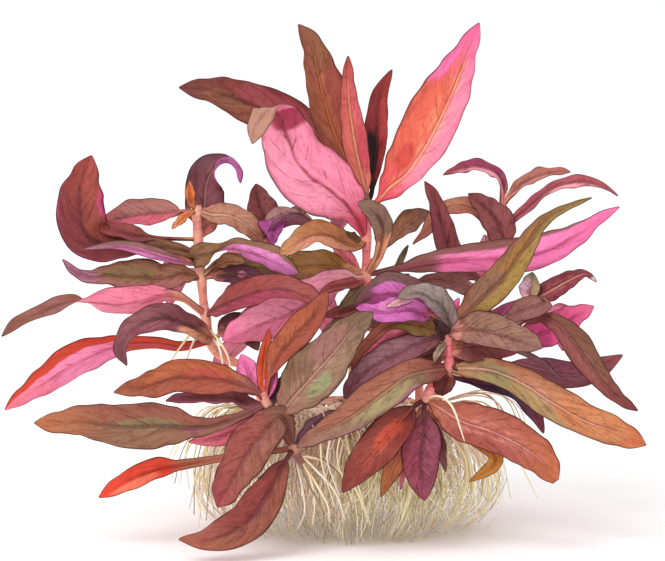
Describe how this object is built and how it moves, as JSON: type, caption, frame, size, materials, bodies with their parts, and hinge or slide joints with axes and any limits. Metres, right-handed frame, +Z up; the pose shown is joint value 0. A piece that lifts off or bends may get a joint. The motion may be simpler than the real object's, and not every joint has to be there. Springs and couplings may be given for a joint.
{
  "type": "aquarium plant",
  "caption": "Rooted clump of pointed brown, red, olive and pink aquarium leaves on upright stems over a skirt of pale roots, standing on its roots.",
  "frame": {"origin": "centre of the root mass's flat underside, where the clump rests", "axes": "+Z up, -Y towards the clump's front, +X to the right seen from the front"},
  "size_m": [0.2553, 0.1753, 0.2032],
  "materials": {
    "root": "matte",
    "stem": "satin",
    "leaf_brown": "satin",
    "leaf_red": "satin",
    "leaf_pink": "satin",
    "leaf_olive": "satin",
    "leaf_mauve": "satin",
    "leaf_orange": "satin"
  },
  "bodies": {
    "root": {"root_mass": "root", "stem_main": "stem", "stem_left": "stem", "stem_back_left": "stem", "stem_front_left": "stem", "stem_right": "stem", "stem_low_right": "stem", "stem_back_right": "stem", "stem_far_right": "stem", "crown_leaf_tall_brown": "leaf_brown", "crown_leaf_left_arched": "leaf_brown", "front_leaf_long_brown": "leaf_brown", "front_leaf_hanging": "leaf_brown", "right_leaf_grey_brown": "leaf_brown", "right_leaf_long_left": "leaf_brown", "back_left_leaf_upright": "leaf_brown", "far_right_leaf_dark_brown": "leaf_brown", "main_leaf_bent_back": "leaf_brown", "back_right_leaf_inner_upright": "leaf_brown", "back_right_leaf_upright": "leaf_brown", "left_leaf_salmon": "leaf_brown", "back_right_leaf_salmon_arch": "leaf_brown", "crown_leaf_dark_red": "leaf_red", "crown_leaf_centre": "leaf_red", "left_leaf_dark_red_upturned": "leaf_red", "left_leaf_crimson": "leaf_red", "front_leaf_lowest": "leaf_red", "low_right_leaf_red_brown": "leaf_red", "back_right_leaf_crimson_arch": "leaf_red", "far_right_leaf_dark_red": "leaf_red", "back_right_leaf_long_arch": "leaf_red", "crown_leaf_right_pink": "leaf_pink", "crown_leaf_left_folded": "leaf_pink", "main_leaf_left_drooping": "leaf_pink", "main_leaf_right_long": "leaf_pink", "left_leaf_long_pink": "leaf_pink", "left_leaf_upper_pink": "leaf_pink", "far_right_leaf_pink": "leaf_pink", "right_leaf_purple_twisted": "leaf_pink", "back_left_leaf_purple": "leaf_pink", "main_leaf_left_olive": "leaf_olive", "left_leaf_wavy_olive": "leaf_olive", "front_leaf_broad_olive": "leaf_olive", "right_leaf_golden": "leaf_olive", "right_leaf_gold_curled": "leaf_olive", "right_leaf_grey_arched": "leaf_olive", "left_leaf_curled_plum": "leaf_mauve", "left_leaf_mauve_arched": "leaf_mauve", "right_leaf_mauve": "leaf_mauve", "low_right_leaf_maroon": "leaf_mauve", "far_right_leaf_mauve": "leaf_mauve", "left_leaf_mauve_olive": "leaf_mauve", "main_leaf_left_arched": "leaf_orange", "front_leaf_orange_brown": "leaf_orange", "front_leaf_upright_orange": "leaf_orange", "front_leaf_low_orange_red": "leaf_orange", "right_leaf_long_orange": "leaf_orange", "left_leaf_lowest_orange": "leaf_orange", "low_right_leaf_wide": "leaf_orange"}
  },
  "joints": []
}
